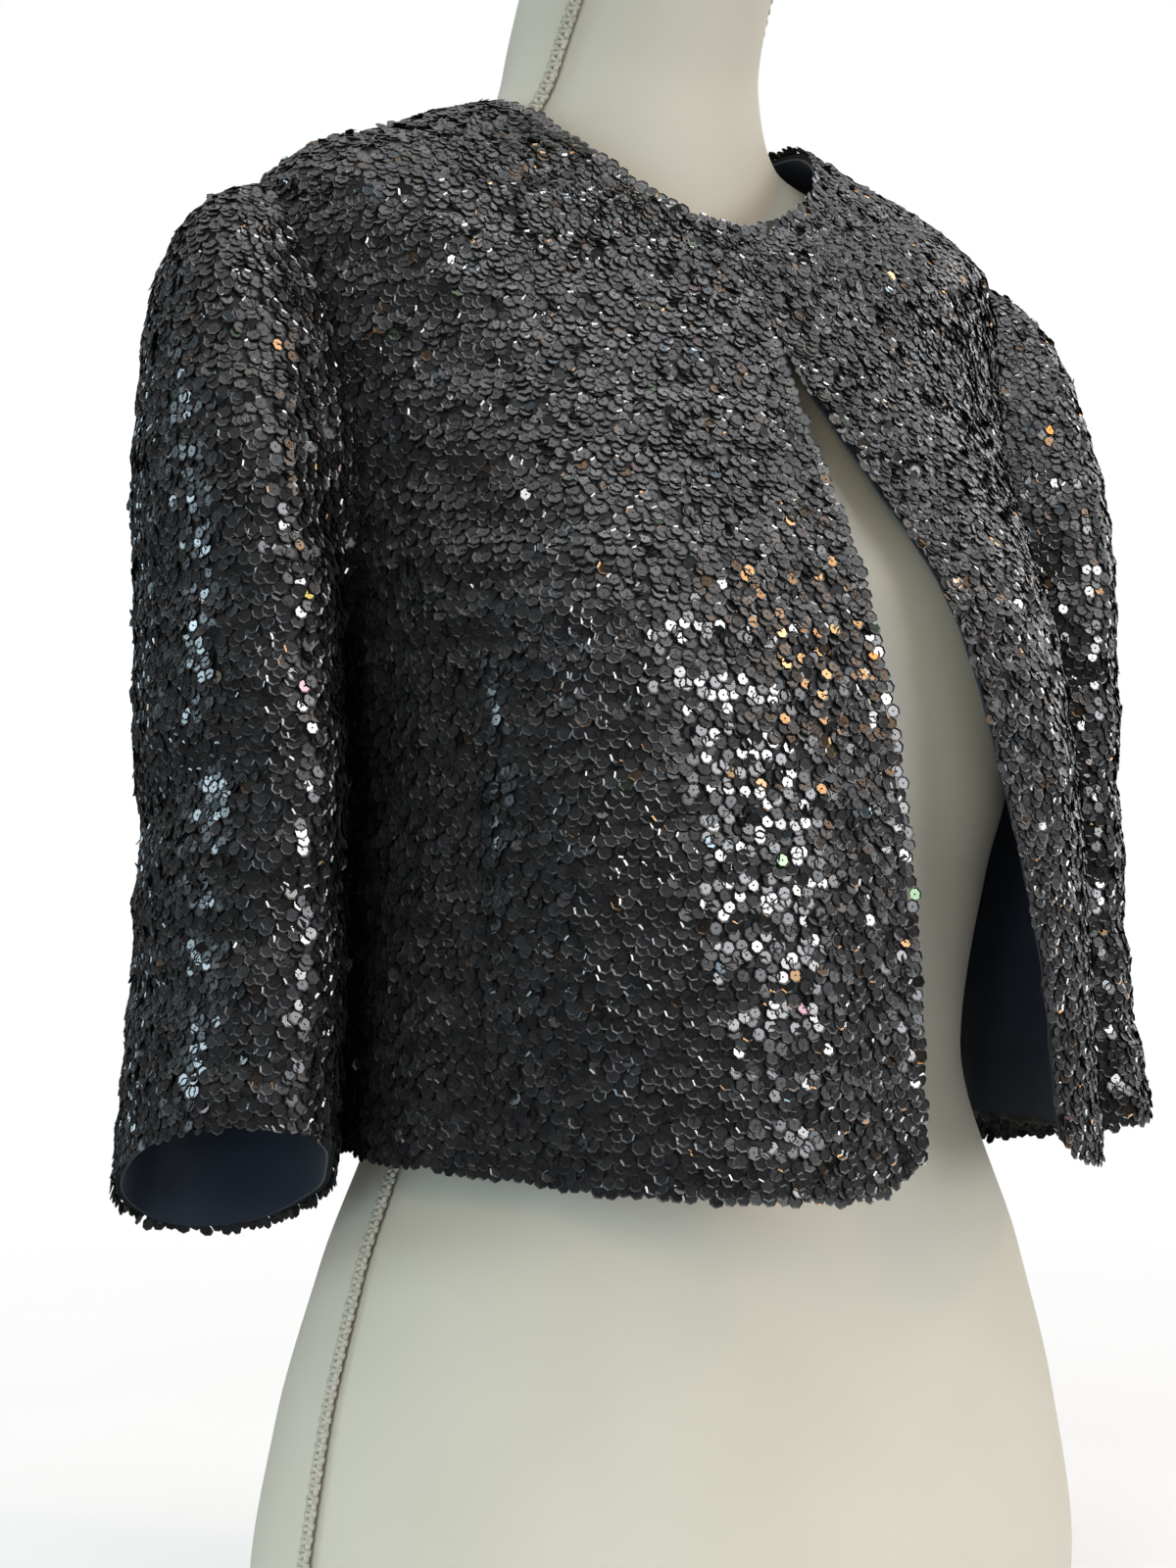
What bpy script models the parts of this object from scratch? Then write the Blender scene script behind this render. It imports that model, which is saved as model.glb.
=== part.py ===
"""A cropped sequinned jacket with elbow-length sleeves, worn by a limbless dress form.

Metres, +Z up. The form stands on the origin and faces -Y, so the wearer's right is -X.
Both the form and the body of the jacket are surfaces through a few named rings. A place on
such a surface is an angle round the ring (0 at the centre front, -90 degrees at the wearer's
right side, 180 at the back) and a level, which counts the rings from the lowest one.
"""

import math
from collections import namedtuple

import bmesh
import bpy
import numpy as np

# Cloth and the gaps between pieces
CLOTH = 0.0016
LINING = 0.0010
GAP = 0.0003
SEAM = 0.0003

# A ring: the heights of its front, sides and back, half its width, the y of its widest points,
# how far its front and back lie from the form's axis, and its squareness (2 is an ellipse)
Ring = namedtuple("Ring", "name z_front z_side z_back half_width side_y front back square")

FORM_RINGS = (
    Ring("base", 0.000, 0.000, 0.000, 0.1665, 0.000, 0.115, 0.121, 2.1),
    Ring("hips", 0.055, 0.055, 0.055, 0.1695, 0.000, 0.118, 0.123, 2.1),
    Ring("low hips", 0.117, 0.117, 0.117, 0.1595, 0.000, 0.112, 0.117, 2.1),
    Ring("high hips", 0.177, 0.177, 0.177, 0.1420, 0.000, 0.100, 0.103, 2.1),
    Ring("waist", 0.257, 0.257, 0.257, 0.1140, 0.004, 0.083, 0.086, 2.1),
    Ring("ribs", 0.325, 0.325, 0.325, 0.1210, 0.008, 0.092, 0.090, 2.1),
    Ring("under bust", 0.362, 0.362, 0.362, 0.1280, 0.010, 0.098, 0.094, 2.1),
    Ring("bust", 0.422, 0.422, 0.430, 0.1320, 0.012, 0.094, 0.099, 2.1),
    Ring("chest", 0.466, 0.470, 0.480, 0.1380, 0.015, 0.078, 0.104, 2.1),
    Ring("upper chest", 0.505, 0.520, 0.532, 0.1490, 0.019, 0.058, 0.103, 1.9),
    Ring("shoulder", 0.530, 0.566, 0.584, 0.1520, 0.024, 0.044, 0.096, 1.8),
    Ring("mid shoulder", 0.549, 0.591, 0.609, 0.1080, 0.030, 0.032, 0.085, 1.8),
    Ring("neck root", 0.565, 0.6120, 0.627, 0.0640, 0.036, 0.017, 0.079, 1.9),
    Ring("neck", 0.620, 0.640, 0.648, 0.0520, 0.034, 0.014, 0.081, 2.0),
    Ring("neck top", 0.700, 0.700, 0.700, 0.0480, 0.008, 0.044, 0.058, 2.0),
)
JACKET_RINGS = (
    Ring("hem", 0.2135, 0.225, 0.226, 0.1440, 0.008, 0.143, 0.114, 2.3),
    Ring("waist", 0.285, 0.285, 0.285, 0.1420, 0.009, 0.140, 0.108, 2.3),
    Ring("under bust", 0.355, 0.352, 0.355, 0.1410, 0.010, 0.130, 0.106, 2.3),
    Ring("bust", 0.420, 0.418, 0.425, 0.1430, 0.012, 0.115, 0.108, 2.3),
    Ring("chest", 0.469, 0.470, 0.482, 0.1480, 0.015, 0.090, 0.112, 2.2),
    Ring("upper chest", 0.508, 0.525, 0.538, 0.1600, 0.019, 0.071, 0.111, 1.95),
    Ring("shoulder", 0.537, 0.5765, 0.592, 0.1690, 0.025, 0.056, 0.103, 1.8),
    Ring("mid shoulder", 0.552, 0.5995, 0.616, 0.1200, 0.031, 0.048, 0.094, 1.95),
    Ring("neck", 0.564, 0.618, 0.631, 0.0730, 0.034, 0.041, 0.082, 2.15),
)

# A swelling (or, below nought, a trough) in a ring surface: its angle and half-width in degrees,
# the level where it starts, the level where it is full, its depth there and its depth at level 0
Fold = namedtuple("Fold", "name angle spread starts full depth low_depth")

FORM_FOLDS = (
    Fold("right bust", -37, 21, 8.6, 6.95, 0.018, 0.0),
    Fold("left bust", 37, 21, 8.6, 6.95, 0.018, 0.0),
)
JACKET_FOLDS = (
    Fold("right bust", -37, 23, 5.0, 2.8, 0.014, 0.005),
    Fold("left bust", 37, 23, 5.0, 2.8, 0.014, 0.005),
    Fold("right front roll", -16, 11, 2.6, 0.6, 0.004, 0.006),
    Fold("right front hollow", -50, 12, 2.4, 0.5, -0.004, -0.007),
    Fold("right side roll", -72, 10, 2.2, 0.5, 0.003, 0.004),
    Fold("left edge flare", 36, 12, 3.4, 0.8, 0.009, 0.013),
    Fold("left front roll", 62, 9, 2.8, 0.8, 0.006, 0.008),
    Fold("left crevice", 79, 6, 2.8, 0.8, -0.006, -0.008),
    Fold("right shoulder blade", -148, 24, 6.0, 4.1, 0.006, 0.002),
    Fold("left shoulder blade", 148, 24, 6.0, 4.1, 0.006, 0.002),
    Fold("right back roll", -157, 11, 2.6, 0.5, 0.003, 0.006),
    Fold("middle back hollow", 180, 12, 2.8, 0.5, -0.003, -0.006),
    Fold("left back roll", 157, 11, 2.6, 0.5, 0.003, 0.006),
    Fold("right back hollow", -128, 12, 2.4, 0.5, -0.002, -0.005),
    Fold("left back hollow", 128, 12, 2.4, 0.5, -0.002, -0.005),
)

# Where the two front edges lie at each jacket ring, in degrees from the centre front
FrontEdge = namedtuple("FrontEdge", "right left")
FRONT_EDGES = (
    FrontEdge(3.8, 29.0),
    FrontEdge(3.8, 27.0),
    FrontEdge(3.4, 22.5),
    FrontEdge(2.4, 18.0),
    FrontEdge(1.2, 10.4),
    FrontEdge(0.2, 3.9),
    FrontEdge(0.0, 1.0),
    FrontEdge(0.0, 0.1),
    FrontEdge(0.0, 0.0),
)
SIDE = 90.0
CORNER_LEVEL = 0.15
CORNER_SHARE = 0.12

# The armhole is an ellipse round the side, in levels and degrees
UNDERARM_LEVEL = 2.7
TIP_LEVEL = 6.0
ARMHOLE_FRONT = 19.0
ARMHOLE_BACK = 28.0
ARMHOLE_STEPS = 8

# How finely each piece is divided
HEM_LEVELS = (0.0, 0.5, 1.0, 1.5, 2.0, 2.4)
YOKE_LEVELS = (6.7, 7.35, 8.0)
FRONT_COLUMNS = 9
BACK_COLUMNS = 18

# Each sleeve is a tube under the armhole: the middle of its rings and their half sizes
SleeveRing = namedtuple("SleeveRing", "name z x y half_x half_y")
SLEEVE_RINGS = (
    SleeveRing("upper arm", 0.385, 0.1765, 0.014, 0.0310, 0.0615),
    SleeveRing("middle", 0.300, 0.1780, 0.013, 0.0310, 0.0625),
    SleeveRing("cuff", 0.215, 0.1850, 0.009, 0.0320, 0.0650),
)
CAP_ROWS = (0.0, 0.05, 0.13, 0.24, 0.37, 0.52, 0.68, 0.84)
TUBE_ROWS = (1.0, 1.4, 1.8, 2.2, 2.6, 3.0)
CUFF_SLOPES = {"right": 0.50, "left": 0.14}
CUFF_TURN = math.radians(45)
HEAD_RISE = math.radians(-7)
HEAD_REACH = 0.30
FALL_REACH = 0.45
UNDERARM_TURN = 0.7

# A soft crease across a sleeve: its height, where round the sleeve, its sizes and its depth
Crease = namedtuple("Crease", "name z turn half_height half_turn rise depth")
SLEEVE_CREASES = (
    Crease("outer bend", 0.352, 20, 0.017, 60, 0.010, -0.0045),
    Crease("front bend", 0.395, 105, 0.015, 45, -0.012, -0.0040),
    Crease("back bend", 0.320, 285, 0.018, 50, 0.012, -0.0040),
)

FORM_SEGMENTS = 40
FORM_LEVELS_PER_RING = 3
FORM_CAP_RISE = 0.004
FORM_CAP_SHARE = 0.90

# The braid sewn on each side of the form
Stretch = namedtuple("Stretch", "name low high low_angle high_angle turn")
BRAID_STRETCHES = (
    Stretch("hip", 0.15, 3.75, 78.0, 83.0, 0.0),
    Stretch("neck", 12.30, 13.85, 80.0, 66.0, 12.0),
)
BRAID_WIDTH = 0.0062
BRAID_HEIGHT = 0.0030
BRAID_CLEAR = 0.0009
BRAID_STEPS = 22
BRAID_SIDES = 8

# The hook and eye lie on the lining just under the neck edge: how far their closed ends and
# their sewn ends lie from the centre front, to the wearer's left
WIRE = 0.0010
Wire = namedtuple("Wire", "name closed sewn half_height layer")
NECK_WIRES = (
    Wire("neck_hook", 0.0022, -0.0068, 0.0012, 1),
    Wire("neck_eye", -0.0012, 0.0070, 0.0022, 0),
)
WIRE_LEVEL = 7.45
WIRE_CLEAR = 0.0008
WIRE_TURNS = 6
WIRE_ROUNDNESS = 1

# The step used for slopes, and the angle from which an edge is drawn sharp
STEP = 1e-3
SHARP_ANGLE = math.radians(50)


def clear_scene():
    for thing in list(bpy.data.objects):
        bpy.data.objects.remove(thing)


def material(name, colour, roughness, metallic=0.0):
    made = bpy.data.materials.new(name)
    made.use_nodes = True
    shader = made.node_tree.nodes["Principled BSDF"]
    shader.inputs["Base Color"].default_value = (*colour, 1.0)
    shader.inputs["Roughness"].default_value = roughness
    shader.inputs["Metallic"].default_value = metallic
    made.diffuse_color = (*colour, 1.0)
    return made


def smooth_through(values, at):
    """A column of a table read between its rows, smoothly and with no overshoot."""
    values = np.asarray(values, float)
    steps = np.diff(values)
    slopes = np.zeros(len(values))
    slopes[0], slopes[-1] = steps[0], steps[-1]
    same_way = np.flatnonzero(steps[:-1] * steps[1:] > 0)
    for i in same_way:
        slopes[i + 1] = 2 * steps[i] * steps[i + 1] / (steps[i] + steps[i + 1])
    row = np.clip(np.floor(at).astype(int), 0, len(values) - 2)
    s = at - row
    rise = values[row + 1] - values[row]
    return (
        values[row]
        + s * slopes[row]
        + s**2 * (3 * rise - 2 * slopes[row] - slopes[row + 1])
        + s**3 * (slopes[row] + slopes[row + 1] - 2 * rise)
    )


def eased(share):
    share = np.clip(share, 0.0, 1.0)
    return share * share * (3 - 2 * share)


def unit(vectors):
    return vectors / np.linalg.norm(vectors, axis=-1, keepdims=True)


def ring_point(rings, angle, level):
    """The plain point of a ring surface, before its folds."""
    angle, level = np.broadcast_arrays(np.asarray(angle, float), np.asarray(level, float))
    column = {c: smooth_through([getattr(r, c) for r in rings], level) for c in Ring._fields[1:]}
    across, ahead = np.sin(angle), np.cos(angle)
    square = column["square"]
    span = (np.abs(across) ** square + np.abs(ahead) ** square) ** (-1 / square)
    reach = np.where(ahead > 0, column["front"] + column["side_y"], column["back"] - column["side_y"])
    face_z = np.where(ahead > 0, column["z_front"], column["z_back"])
    return np.stack(
        [
            column["half_width"] * span * across,
            column["side_y"] - reach * span * ahead,
            column["z_side"] + (face_z - column["z_side"]) * ahead**2,
        ],
        axis=-1,
    )


def fold_depth(folds, angle, level):
    degrees = np.degrees(angle)
    total = np.zeros(np.broadcast(degrees, level).shape)
    for fold in folds:
        away = (degrees - fold.angle + 180) % 360 - 180
        above = eased((fold.starts - level) / (fold.starts - fold.full))
        below = fold.low_depth + (fold.depth - fold.low_depth) * eased(level / fold.full)
        depth = np.where(level > fold.full, fold.depth * above, below)
        total = total + depth * np.exp(-((away / fold.spread) ** 2))
    return total


def normal_of(surface, first, second):
    """The outward normal of a surface whose first number runs to the right, seen from outside."""
    along = surface(first + STEP, second) - surface(first - STEP, second)
    up = surface(first, second + STEP) - surface(first, second - STEP)
    return unit(np.cross(along, up))


def folded(rings, folds, angle, level):
    def plain(a, b):
        return ring_point(rings, a, b)

    outward = normal_of(plain, angle, level)
    return plain(angle, level) + outward * fold_depth(folds, angle, level)[..., None]


def form_point(angle, level):
    return folded(FORM_RINGS, FORM_FOLDS, angle, level)


def jacket_point(angle, level):
    return folded(JACKET_RINGS, JACKET_FOLDS, angle, level)


def armhole_middle():
    return (UNDERARM_LEVEL + TIP_LEVEL) / 2, (TIP_LEVEL - UNDERARM_LEVEL) / 2


def armhole_bite(level, widest):
    """How many degrees short of the side a panel stops at a level, beside the armhole."""
    middle, half = armhole_middle()
    q = np.clip((level - middle) / half, -1.0, 1.0)
    return widest * np.sqrt(1 - q * q)


def seam_degrees(level, radii):
    """Half the seam gap as an angle on the jacket's rings, whose radii square to it are given."""
    return np.degrees(SEAM / 2 / smooth_through(radii, level))


def front_angles(level, share, side):
    """Angle on a front panel, from its front edge (share 0) to its side (share 1)."""
    edge = smooth_through([getattr(e, side) for e in FRONT_EDGES], level)
    sign = 1 if side == "left" else -1
    start = edge + sign * seam_degrees(level, [r.half_width for r in JACKET_RINGS])
    side_gap = seam_degrees(level, [r.front + r.side_y for r in JACKET_RINGS])
    end = sign * (SIDE - armhole_bite(level, ARMHOLE_FRONT) - side_gap)
    return np.radians(start + (end - start) * share)


def back_angles(level, share):
    """Angle on the back panel, from the wearer's right side (share 0) to the left."""
    side_gap = seam_degrees(level, [r.back - r.side_y for r in JACKET_RINGS])
    reach = 180 - SIDE - armhole_bite(level, ARMHOLE_BACK) - side_gap
    return np.radians(180 + reach * (1 - 2 * share))


def rounded_corner(level, share):
    """The level near a front's lower corner, lifted so that the corner is round."""
    near = np.clip(1 - share / CORNER_SHARE, 0.0, 1.0) ** 2
    low = np.clip(1 - level, 0.0, 1.0)
    return level + CORNER_LEVEL * near * low


def panel_levels():
    middle, half = armhole_middle()
    turns = np.arange(ARMHOLE_STEPS + 1) * math.pi / ARMHOLE_STEPS
    return np.concatenate([HEM_LEVELS, middle - half * np.cos(turns), YOKE_LEVELS])


def front_grid(side):
    shares = np.linspace(0.0, 1.0, FRONT_COLUMNS + 1)
    level, share = np.meshgrid(panel_levels(), shares, indexing="ij")
    level = rounded_corner(level, share)
    return front_angles(level, share, side), level


def back_grid():
    shares = np.linspace(0.0, 1.0, BACK_COLUMNS + 1)
    level, share = np.meshgrid(panel_levels(), shares, indexing="ij")
    return back_angles(level, share), level


def sleeve_crease_depth(turn, z):
    degrees = np.degrees(turn)
    total = np.zeros(np.broadcast(degrees, z).shape)
    for crease in SLEEVE_CREASES:
        away = (degrees - crease.turn + 180) % 360 - 180
        lift = crease.z + crease.rise * away / crease.half_turn
        total = total + crease.depth * np.exp(
            -((away / crease.half_turn) ** 2) - ((z - lift) / crease.half_height) ** 2
        )
    return total


def sleeve_point(turn, row, side):
    """Turn 0 is the shoulder tip, a quarter turn the front. Rows 0 to 1 are the sleeve's cap."""
    sign = 1 if side == "left" else -1
    turn, row = np.broadcast_arrays(np.asarray(turn, float), np.asarray(row, float))
    middle, half = armhole_middle()
    widest = np.where(np.sin(turn) > 0, ARMHOLE_FRONT, ARMHOLE_BACK)
    level = middle + half * np.cos(turn)
    angle = sign * np.radians(SIDE - widest * np.sin(turn))
    edge = jacket_point(angle, level)
    outward = normal_of(jacket_point, angle, level)
    over = np.array([sign * math.cos(HEAD_RISE), 0.0, math.sin(HEAD_RISE)])
    share = (np.abs(np.sin(turn / 2)) ** UNDERARM_TURN)[..., None]
    leaving = unit(over * (1 - share) + outward * share)
    start = edge + leaving * SEAM

    tube = {
        c: smooth_through([getattr(r, c) for r in SLEEVE_RINGS], np.clip(row - 1, 0.0, 2.0))
        for c in SleeveRing._fields[1:]
    }
    round_x = tube["half_x"] * np.cos(turn)
    round_y = -tube["half_y"] * np.sin(turn)
    away = math.sin(CUFF_TURN) * -round_x + math.cos(CUFF_TURN) * round_y
    drop = CUFF_SLOPES[side] * away * eased((row - 1) / 2)
    lower = np.stack(
        [sign * (tube["x"] + round_x), tube["y"] + round_y, tube["z"] - drop], axis=-1
    )
    length = np.linalg.norm(lower - start, axis=-1, keepdims=True)
    s = np.clip(row, 0.0, 1.0)[..., None]
    first = start + leaving * length * HEAD_REACH
    second = lower + np.array([0.0, 0.0, 1.0]) * length * FALL_REACH
    cap = (
        start * (1 - s) ** 3
        + 3 * first * s * (1 - s) ** 2
        + 3 * second * s**2 * (1 - s)
        + lower * s**3
    )
    place = np.where((row < 1)[..., None], cap, lower)
    flat = unit(np.stack([sign * np.cos(turn), -np.sin(turn), 0 * turn], axis=-1))
    return place + flat * sleeve_crease_depth(turn, place[..., 2])[..., None]


def sleeve_grid():
    rows = np.array(CAP_ROWS + TUBE_ROWS)
    turns = np.arange(2 * ARMHOLE_STEPS) * math.pi / ARMHOLE_STEPS
    row, turn = np.meshgrid(rows[::-1], turns, indexing="ij")
    return turn, row


def sheet_between(name, outer, inner, wraps, finish):
    """A closed wall between two grids of points. Wraps joins the last column to the first."""
    rows, columns = outer.shape[:2]
    points = np.concatenate([outer.reshape(-1, 3), inner.reshape(-1, 3)])

    def corner(layer, r, c):
        return (layer * rows + r) * columns + c % columns

    faces = []
    spans = columns if wraps else columns - 1
    for r in range(rows - 1):
        for c in range(spans):
            for layer in (0, 1):
                low, high = corner(layer, r, c), corner(layer, r + 1, c + 1)
                faces.append((low, corner(layer, r, c + 1), high))
                faces.append((low, high, corner(layer, r + 1, c)))
    border = [(r, c, r, c + 1) for r in (0, rows - 1) for c in range(spans)]
    if not wraps:
        border += [(r, c, r + 1, c) for c in (0, columns - 1) for r in range(rows - 1)]
    for r0, c0, r1, c1 in border:
        faces.append((corner(0, r0, c0), corner(0, r1, c1), corner(1, r1, c1), corner(1, r0, c0)))
    return mesh_object(name, points, faces, finish)


def mesh_object(name, points, faces, finish):
    mesh = bpy.data.meshes.new(name)
    mesh.from_pydata([tuple(p) for p in points], [], faces)
    shaped = bmesh.new()
    shaped.from_mesh(mesh)
    bmesh.ops.recalc_face_normals(shaped, faces=shaped.faces)
    shaped.to_mesh(mesh)
    shaped.free()
    mesh.shade_smooth()
    mesh.set_sharp_from_angle(angle=SHARP_ANGLE)
    mesh.materials.append(finish)
    made = bpy.data.objects.new(name, mesh)
    bpy.context.scene.collection.objects.link(made)
    return made


def layer_depths(lining):
    """How deep a layer's two faces lie under the surface that the jacket's outside follows."""
    if lining:
        return CLOTH + GAP, CLOTH + GAP + LINING
    return 0.0, CLOTH


def cloth(name, surface, first, second, lining, wraps, finish):
    """One cut piece: the outside surface at a grid of places, given its wall."""
    place = surface(first, second)
    outward = normal_of(surface, first, second)
    top, under = layer_depths(lining)
    return sheet_between(name, place - outward * top, place - outward * under, wraps, finish)


def make_panels(sequinned, satin):
    for lining, finish, ending in ((False, sequinned, ""), (True, satin, "_lining")):
        for side in ("right", "left"):
            angle, level = front_grid(side)
            cloth(f"{side}_front{ending}", jacket_point, angle, level, lining, False, finish)
        angle, level = back_grid()
        cloth(f"back{ending}", jacket_point, angle, level, lining, False, finish)


def make_sleeves(sequinned, satin):
    for side, sign in (("right", 1), ("left", -1)):

        def surface(turn, row, side=side, sign=sign):
            return sleeve_point(sign * turn, -row, side)

        for lining, finish, ending in ((False, sequinned, ""), (True, satin, "_lining")):
            turn, row = sleeve_grid()
            cloth(f"{side}_sleeve{ending}", surface, sign * turn, -row, lining, True, finish)


def make_form(shell):
    """The form is one closed solid with a flat base and a low dome on its neck."""
    count = (len(FORM_RINGS) - 1) * FORM_LEVELS_PER_RING + 1
    levels = np.linspace(0.0, len(FORM_RINGS) - 1, count)
    angles = np.arange(FORM_SEGMENTS) * math.tau / FORM_SEGMENTS
    level, angle = np.meshgrid(levels, angles, indexing="ij")
    points = form_point(angle, level)
    top = FORM_RINGS[-1]
    middle = np.array([0.0, (top.back - top.front) / 2, top.z_side])
    shoulder = middle + (points[-1] - middle) * FORM_CAP_SHARE + [0.0, 0.0, FORM_CAP_RISE]
    points = np.concatenate([points, shoulder[None]])
    rows = len(points)
    faces = []
    for r in range(rows - 1):
        for c in range(FORM_SEGMENTS):
            across = (c + 1) % FORM_SEGMENTS
            low, high = r * FORM_SEGMENTS, (r + 1) * FORM_SEGMENTS
            faces.append((low + c, low + across, high + across, high + c))
    faces.append(tuple(reversed(range(FORM_SEGMENTS))))
    faces.append(tuple(range((rows - 1) * FORM_SEGMENTS, rows * FORM_SEGMENTS)))
    return mesh_object("dress_form", points.reshape(-1, 3), faces, shell)


def make_braids(cord):
    """Each braid is a low half-round strip laid along the form's side."""
    for stretch in BRAID_STRETCHES:
        for side, sign in (("right", -1), ("left", 1)):
            share = np.linspace(0.0, 1.0, BRAID_STEPS + 1)
            level = stretch.low + (stretch.high - stretch.low) * share
            degrees = stretch.low_angle + (stretch.high_angle - stretch.low_angle) * share
            angle = np.radians(sign * degrees + stretch.turn)
            place = form_point(angle, level)
            outward = normal_of(form_point, angle, level)
            along = unit(np.gradient(place, axis=0))
            across = unit(np.cross(outward, along))
            turns = np.arange(BRAID_SIDES) * math.tau / BRAID_SIDES
            wide = across[:, None] * (np.cos(turns) * BRAID_WIDTH / 2)[None, :, None]
            lift = BRAID_CLEAR + BRAID_HEIGHT / 2 * (1 + np.sin(turns))
            tall = outward[:, None] * lift[None, :, None]
            points = (place[:, None] + wide + tall).reshape(-1, 3)
            faces = []
            for r in range(BRAID_STEPS):
                for c in range(BRAID_SIDES):
                    a, b = r * BRAID_SIDES + c, r * BRAID_SIDES + (c + 1) % BRAID_SIDES
                    faces.append((a, b, b + BRAID_SIDES, a + BRAID_SIDES))
            faces.append(tuple(range(BRAID_SIDES)))
            faces.append(tuple(BRAID_STEPS * BRAID_SIDES + c for c in range(BRAID_SIDES)))
            mesh_object(f"{stretch.name}_braid_{side}", points, faces, cord)


def make_neck_wires(metal):
    """Each is one wire bent round its closed end, flat on the lining. The hook lies on the eye."""
    middle = jacket_point(0.0, WIRE_LEVEL)
    outward = normal_of(jacket_point, 0.0, WIRE_LEVEL)
    sideways = np.array([1.0, 0.0, 0.0])
    up = unit(np.cross(outward, sideways))
    for wire in NECK_WIRES:
        depth = CLOTH + GAP + LINING + WIRE_CLEAR + WIRE / 2 + wire.layer * (WIRE + GAP)
        turns = np.linspace(-math.pi / 2, math.pi / 2, WIRE_TURNS + 1)
        sign = math.copysign(1.0, wire.closed - wire.sewn)
        bend = wire.closed - sign * wire.half_height
        places = [(wire.sewn, -wire.half_height)]
        for turn in turns:
            places.append(
                (bend + sign * wire.half_height * math.cos(turn), wire.half_height * math.sin(turn))
            )
        places.append((wire.sewn, wire.half_height))
        curve = bpy.data.curves.new(wire.name, "CURVE")
        curve.dimensions = "3D"
        curve.bevel_depth = WIRE / 2
        curve.bevel_resolution = WIRE_ROUNDNESS
        curve.use_fill_caps = True
        line = curve.splines.new("POLY")
        line.points.add(len(places) - 1)
        for point, (across, rise) in zip(line.points, places):
            place = middle - outward * depth + sideways * across + up * rise
            point.co = (*place, 1.0)
        curve.materials.append(metal)
        made = bpy.data.objects.new(wire.name, curve)
        bpy.context.scene.collection.objects.link(made)


clear_scene()
sequinned_cloth = material("sequinned_cloth", (0.018, 0.018, 0.020), 0.35)
lining_satin = material("lining_satin", (0.006, 0.008, 0.016), 0.55)
form_shell = material("form_shell", (0.62, 0.61, 0.52), 0.45)
braid_cord = material("braid_cord", (0.50, 0.47, 0.38), 0.80)
black_wire = material("black_wire", (0.03, 0.03, 0.035), 0.30, 1.0)
make_panels(sequinned_cloth, lining_satin)
make_sleeves(sequinned_cloth, lining_satin)
make_form(form_shell)
make_braids(braid_cord)
make_neck_wires(black_wire)
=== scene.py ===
import math
from collections import namedtuple

import bmesh
import bpy
import numpy as np
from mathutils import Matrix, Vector


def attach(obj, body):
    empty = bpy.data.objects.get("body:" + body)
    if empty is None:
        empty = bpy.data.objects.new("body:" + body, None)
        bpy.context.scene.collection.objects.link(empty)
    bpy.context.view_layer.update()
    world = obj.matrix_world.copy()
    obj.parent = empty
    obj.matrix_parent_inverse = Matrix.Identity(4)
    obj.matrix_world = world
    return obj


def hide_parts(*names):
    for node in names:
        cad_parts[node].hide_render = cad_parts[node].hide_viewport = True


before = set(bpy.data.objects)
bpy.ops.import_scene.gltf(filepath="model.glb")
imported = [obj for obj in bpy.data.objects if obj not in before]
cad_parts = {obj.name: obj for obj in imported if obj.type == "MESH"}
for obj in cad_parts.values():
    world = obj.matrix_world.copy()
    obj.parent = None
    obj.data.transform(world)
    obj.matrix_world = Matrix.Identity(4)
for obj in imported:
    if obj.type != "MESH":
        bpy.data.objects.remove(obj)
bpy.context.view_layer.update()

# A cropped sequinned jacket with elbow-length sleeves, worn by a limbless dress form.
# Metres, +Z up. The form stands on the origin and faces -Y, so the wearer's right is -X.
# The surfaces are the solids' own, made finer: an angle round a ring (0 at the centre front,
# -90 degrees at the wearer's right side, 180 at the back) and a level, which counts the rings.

# Cloth and the gaps between pieces
CLOTH = 0.0016
LINING = 0.0010
GAP = 0.0003
SEAM = 0.0003

# A ring: the heights of its front, sides and back, half its width, the y of its widest points,
# how far its front and back lie from the form's axis, and its squareness (2 is an ellipse)
Ring = namedtuple("Ring", "name z_front z_side z_back half_width side_y front back square")

FORM_RINGS = (
    Ring("base", 0.000, 0.000, 0.000, 0.1665, 0.000, 0.115, 0.121, 2.1),
    Ring("hips", 0.055, 0.055, 0.055, 0.1695, 0.000, 0.118, 0.123, 2.1),
    Ring("low hips", 0.117, 0.117, 0.117, 0.1595, 0.000, 0.112, 0.117, 2.1),
    Ring("high hips", 0.177, 0.177, 0.177, 0.1420, 0.000, 0.100, 0.103, 2.1),
    Ring("waist", 0.257, 0.257, 0.257, 0.1140, 0.004, 0.083, 0.086, 2.1),
    Ring("ribs", 0.325, 0.325, 0.325, 0.1210, 0.008, 0.092, 0.090, 2.1),
    Ring("under bust", 0.362, 0.362, 0.362, 0.1280, 0.010, 0.098, 0.094, 2.1),
    Ring("bust", 0.422, 0.422, 0.430, 0.1320, 0.012, 0.094, 0.099, 2.1),
    Ring("chest", 0.466, 0.470, 0.480, 0.1380, 0.015, 0.078, 0.104, 2.1),
    Ring("upper chest", 0.505, 0.520, 0.532, 0.1490, 0.019, 0.058, 0.103, 1.9),
    Ring("shoulder", 0.530, 0.566, 0.584, 0.1520, 0.024, 0.044, 0.096, 1.8),
    Ring("mid shoulder", 0.549, 0.591, 0.609, 0.1080, 0.030, 0.032, 0.085, 1.8),
    Ring("neck root", 0.565, 0.6120, 0.627, 0.0640, 0.036, 0.017, 0.079, 1.9),
    Ring("neck", 0.620, 0.640, 0.648, 0.0520, 0.034, 0.014, 0.081, 2.0),
    Ring("neck top", 0.700, 0.700, 0.700, 0.0480, 0.008, 0.044, 0.058, 2.0),
)
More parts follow.
